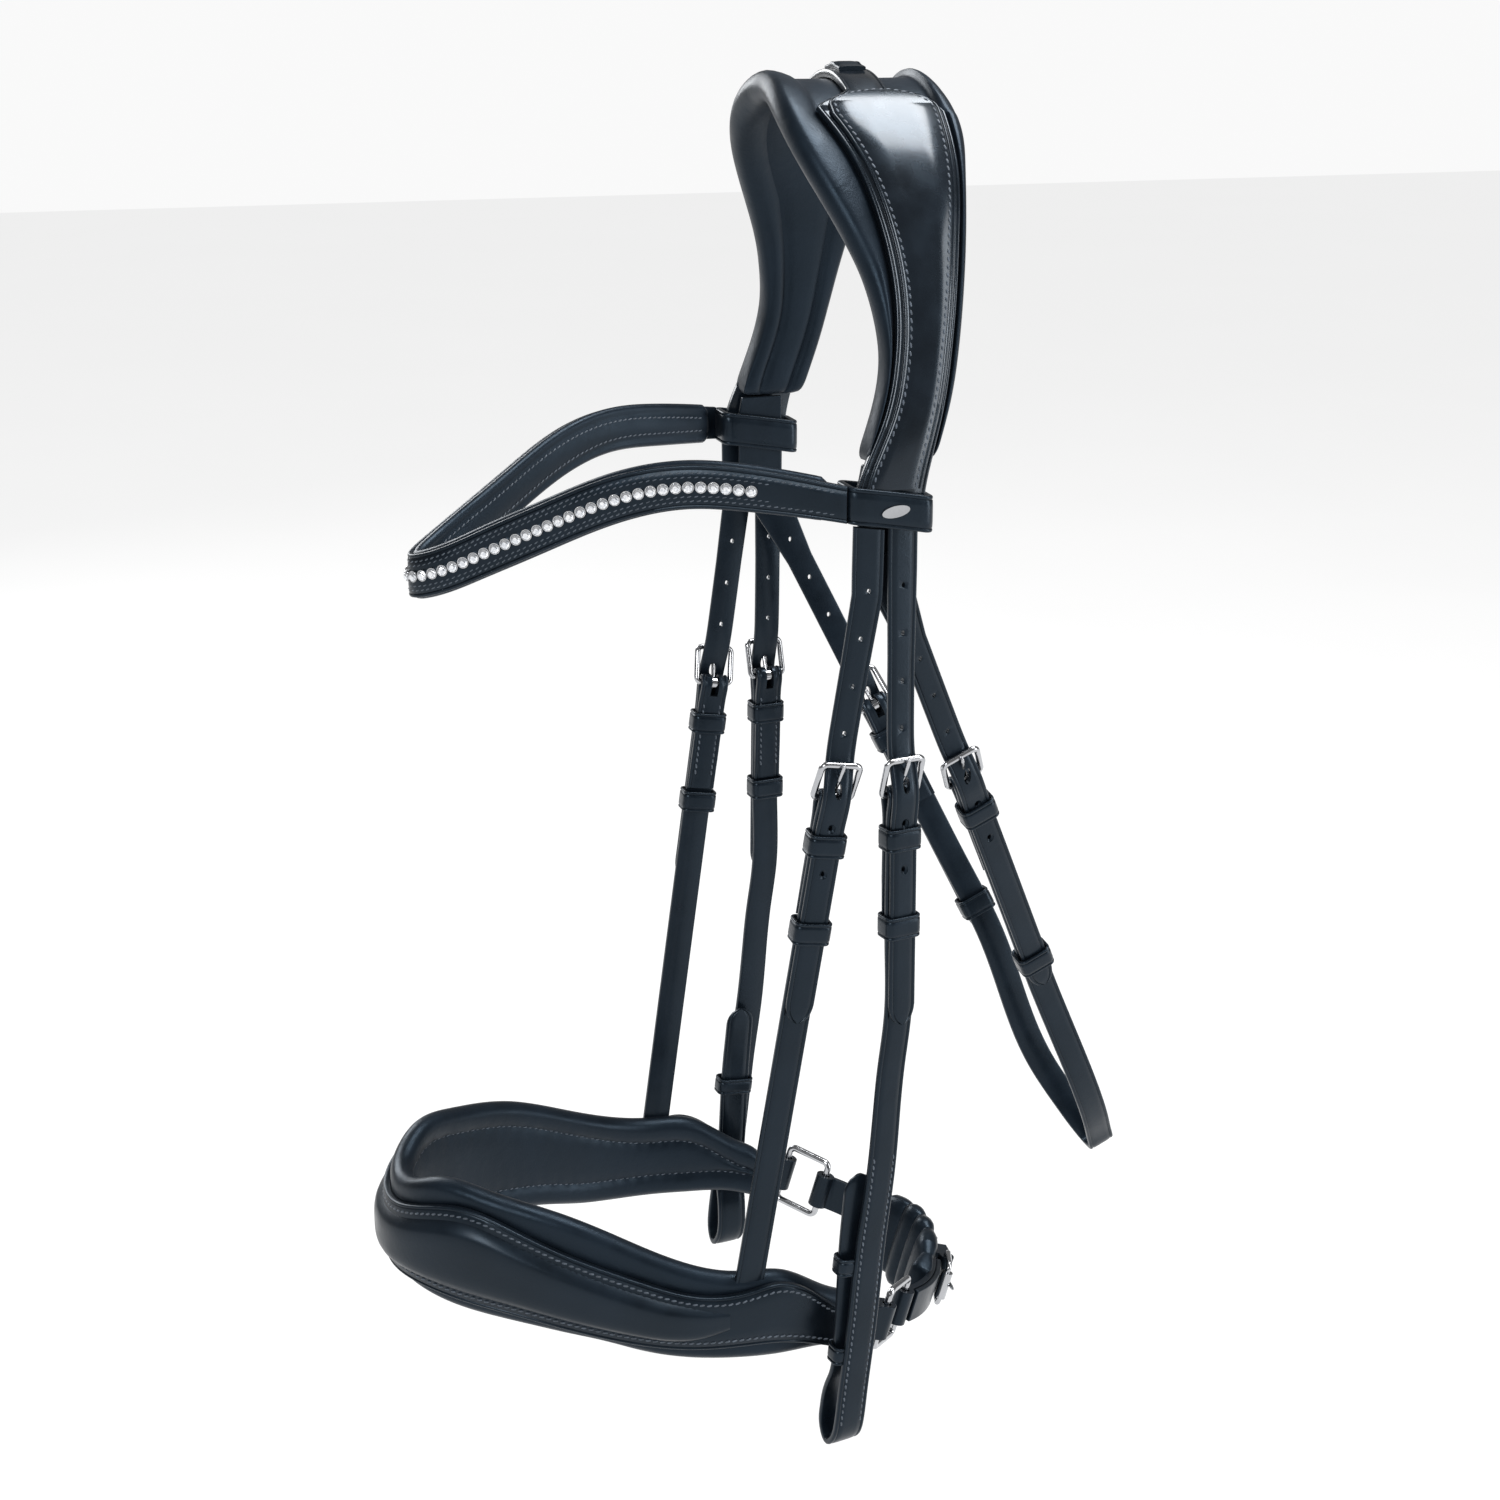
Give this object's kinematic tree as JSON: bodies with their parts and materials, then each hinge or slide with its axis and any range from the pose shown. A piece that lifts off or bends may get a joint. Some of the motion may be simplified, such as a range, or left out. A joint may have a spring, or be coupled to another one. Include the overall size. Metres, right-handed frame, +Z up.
{
  "type": "snaffle bridle",
  "caption": "Leather snaffle bridle: padded anatomic crown, V browband with crystals, cheekpieces with bit loops, padded noseband with rings and chin strap, throatlash.",
  "frame": {"origin": "underside of the crown padding, in the middle, where the bridle rests on the horse's poll", "axes": "+Z up, +X to the horse's left, -Y forward towards the nose"},
  "size_m": [0.1836, 0.3328, 0.5473],
  "materials": {
    "strap_leather": "satin",
    "crown_leather": "gloss",
    "padding_leather": "satin",
    "polished_steel": "polished",
    "crystal": "gloss"
  },
  "bodies": {
    "root": {"headpiece_strap": "crown_leather", "headpiece_padding": "padding_leather", "poll_bridge": "crown_leather", "headpiece_overlay_left": "crown_leather", "headpiece_overlay_right": "crown_leather", "throat_layers": "strap_leather"},
    "browband": {"browband_leather": "strap_leather", "browband_loops": "strap_leather", "browband_lining": "padding_leather", "browband_cups": "polished_steel", "browband_crystals": "crystal", "browband_badge": "polished_steel"},
    "cheek_left": {"cheek_strap_left": "strap_leather", "cheek_billet_left": "strap_leather", "cheek_buckle_left": "polished_steel", "cheek_keepers_left": "strap_leather", "bit_hook_left": "polished_steel"},
    "cheek_right": {"cheek_strap_right": "strap_leather", "cheek_billet_right": "strap_leather", "cheek_buckle_right": "polished_steel", "cheek_keepers_right": "strap_leather", "bit_hook_right": "polished_steel"},
    "noseband": {"noseband_leather": "strap_leather", "noseband_panel": "crown_leather", "noseband_padding": "padding_leather", "ring_chapes": "strap_leather", "hanger_keepers": "strap_leather", "hanger_strap_left": "strap_leather", "hanger_billet_left": "strap_leather", "hanger_buckle_left": "polished_steel", "hanger_strap_right": "strap_leather", "hanger_billet_right": "strap_leather", "hanger_buckle_right": "polished_steel"},
    "throatlash": {"throatlash_strap": "strap_leather", "throat_keepers": "strap_leather", "throat_billet_left": "strap_leather", "throat_buckle_left": "polished_steel", "throat_billet_right": "strap_leather", "throat_buckle_right": "polished_steel"},
    "ring_left": {"ring_left": "polished_steel"},
    "ring_right": {"ring_right": "polished_steel"},
    "chin": {"chin_strap": "strap_leather", "chin_pad": "padding_leather", "chin_billet": "strap_leather", "chin_buckle": "polished_steel", "chin_keepers": "strap_leather"},
    "chin_roller": {"chin_roller": "polished_steel"},
    "chin_tongue": {"chin_tongue": "polished_steel"},
    "cheek_tongue_left": {"cheek_tongue_left": "polished_steel"},
    "cheek_runner_left": {"cheek_runner_left": "strap_leather"},
    "cheek_tongue_right": {"cheek_tongue_right": "polished_steel"},
    "cheek_runner_right": {"cheek_runner_right": "strap_leather"},
    "hanger_tongue_left": {"hanger_tongue_left": "polished_steel"},
    "hanger_runner_left": {"hanger_runner_left": "strap_leather"},
    "hanger_tongue_right": {"hanger_tongue_right": "polished_steel"},
    "hanger_runner_right": {"hanger_runner_right": "strap_leather"},
    "throat_tongue_left": {"throat_tongue_left": "polished_steel"},
    "throat_runner_left": {"throat_runner_left": "strap_leather"},
    "throat_tongue_right": {"throat_tongue_right": "polished_steel"},
    "throat_runner_right": {"throat_runner_right": "strap_leather"}
  },
  "joints": [
    {"name": "browband_slide", "type": "slide", "parent": "root", "child": "browband", "axis": [0, 0, 1], "range_m": [-0.01, 0]},
    {"name": "cheek_left_swing", "type": "hinge", "parent": "root", "child": "cheek_left", "pos_m": [0.081, -0.005, -0.169], "axis": [0, -1, 0], "range_deg": [0, 20]},
    {"name": "cheek_right_swing", "type": "hinge", "parent": "root", "child": "cheek_right", "pos_m": [-0.081, -0.005, -0.169], "axis": [0, 1, 0], "range_deg": [0, 20]},
    {"name": "noseband_swing", "type": "hinge", "parent": "root", "child": "noseband", "pos_m": [0, -0.024, -0.1682], "axis": [1, 0, 0], "range_deg": [-15, 0]},
    {"name": "throatlash_swing", "type": "hinge", "parent": "root", "child": "throatlash", "pos_m": [0, -0.0005, -0.1645], "axis": [1, 0, 0], "range_deg": [0, 25]},
    {"name": "ring_left_turn", "type": "hinge", "parent": "noseband", "child": "ring_left", "pos_m": [0.065, -0.0015, -0.494], "axis": [0, 0.2924, 0.9563], "range_deg": [-6, 6]},
    {"name": "ring_right_turn", "type": "hinge", "parent": "noseband", "child": "ring_right", "pos_m": [-0.065, -0.0015, -0.494], "axis": [0, 0.2924, 0.9563], "range_deg": [-6, 6]},
    {"name": "chin_turn", "type": "hinge", "parent": "ring_left", "child": "chin", "pos_m": [0.05086, 0.01202, -0.49813], "axis": [0, 0.2924, 0.9563], "range_deg": [-8, 8]},
    {"name": "cheek_tongue_left_turn", "type": "hinge", "parent": "cheek_left", "child": "cheek_tongue_left", "pos_m": [0.0816, -0.0045, -0.257], "axis": [-0.1736, 0.9848, 0], "range_deg": [0, 10]},
    {"name": "cheek_runner_left_slide", "type": "slide", "parent": "cheek_left", "child": "cheek_runner_left", "axis": [-0.0086, -0.0015, 1], "range_m": [-0.015, 0.015]},
    {"name": "cheek_tongue_right_turn", "type": "hinge", "parent": "cheek_right", "child": "cheek_tongue_right", "pos_m": [-0.083, -0.0045, -0.257], "axis": [0.1045, -0.9945, 0], "range_deg": [0, 10]},
    {"name": "cheek_runner_right_slide", "type": "slide", "parent": "cheek_right", "child": "cheek_runner_right", "axis": [0.0174, 0.0018, 0.9998], "range_m": [-0.015, 0.015]},
    {"name": "hanger_tongue_left_turn", "type": "hinge", "parent": "noseband", "child": "hanger_tongue_left", "pos_m": [0.0788, -0.0308, -0.257], "axis": [-0.0061, 0.989, -0.1477], "range_deg": [0, 10]},
    {"name": "hanger_runner_left_slide", "type": "slide", "parent": "noseband", "child": "hanger_runner_left", "axis": [0.0406, 0.1478, 0.9882], "range_m": [-0.03, 0.015]},
    {"name": "hanger_tongue_right_turn", "type": "hinge", "parent": "noseband", "child": "hanger_tongue_right", "pos_m": [-0.0788, -0.0308, -0.257], "axis": [-0.0061, -0.989, 0.1477], "range_deg": [0, 10]},
    {"name": "hanger_runner_right_slide", "type": "slide", "parent": "noseband", "child": "hanger_runner_right", "axis": [-0.0406, 0.1478, 0.9882], "range_m": [-0.03, 0.015]},
    {"name": "throat_tongue_left_turn", "type": "hinge", "parent": "throatlash", "child": "throat_tongue_left", "pos_m": [0.0517, 0.03531, -0.2652], "axis": [0, 0.9085, 0.4179], "range_deg": [0, 10]},
    {"name": "throat_runner_left_slide", "type": "slide", "parent": "throatlash", "child": "throat_runner_left", "axis": [0.2096, -0.4086, 0.8883], "range_m": [-0.008, 0.06]},
    {"name": "throat_tongue_right_turn", "type": "hinge", "parent": "throatlash", "child": "throat_tongue_right", "pos_m": [-0.0517, 0.03531, -0.2652], "axis": [0, -0.9085, -0.4179], "range_deg": [0, 10]},
    {"name": "throat_runner_right_slide", "type": "slide", "parent": "throatlash", "child": "throat_runner_right", "axis": [-0.2096, -0.4086, 0.8883], "range_m": [-0.008, 0.06]},
    {"name": "chin_tongue_turn", "type": "hinge", "parent": "chin", "child": "chin_tongue", "pos_m": [0.01465, 0.04581, -0.50846], "axis": [0, 0.2924, 0.9563], "range_deg": [0, 10]},
    {"name": "chin_roller_turn", "type": "hinge", "parent": "chin", "child": "chin_roller", "pos_m": [0.0278, 0.04123, -0.50706], "axis": [0, 0.2924, 0.9563], "continuous": true}
  ],
  "couplings": [
    {"joint": "ring_right_turn", "follows": "ring_left_turn", "ratio": 1},
    {"joint": "chin_turn", "follows": "ring_left_turn", "ratio": -1.278}
  ]
}
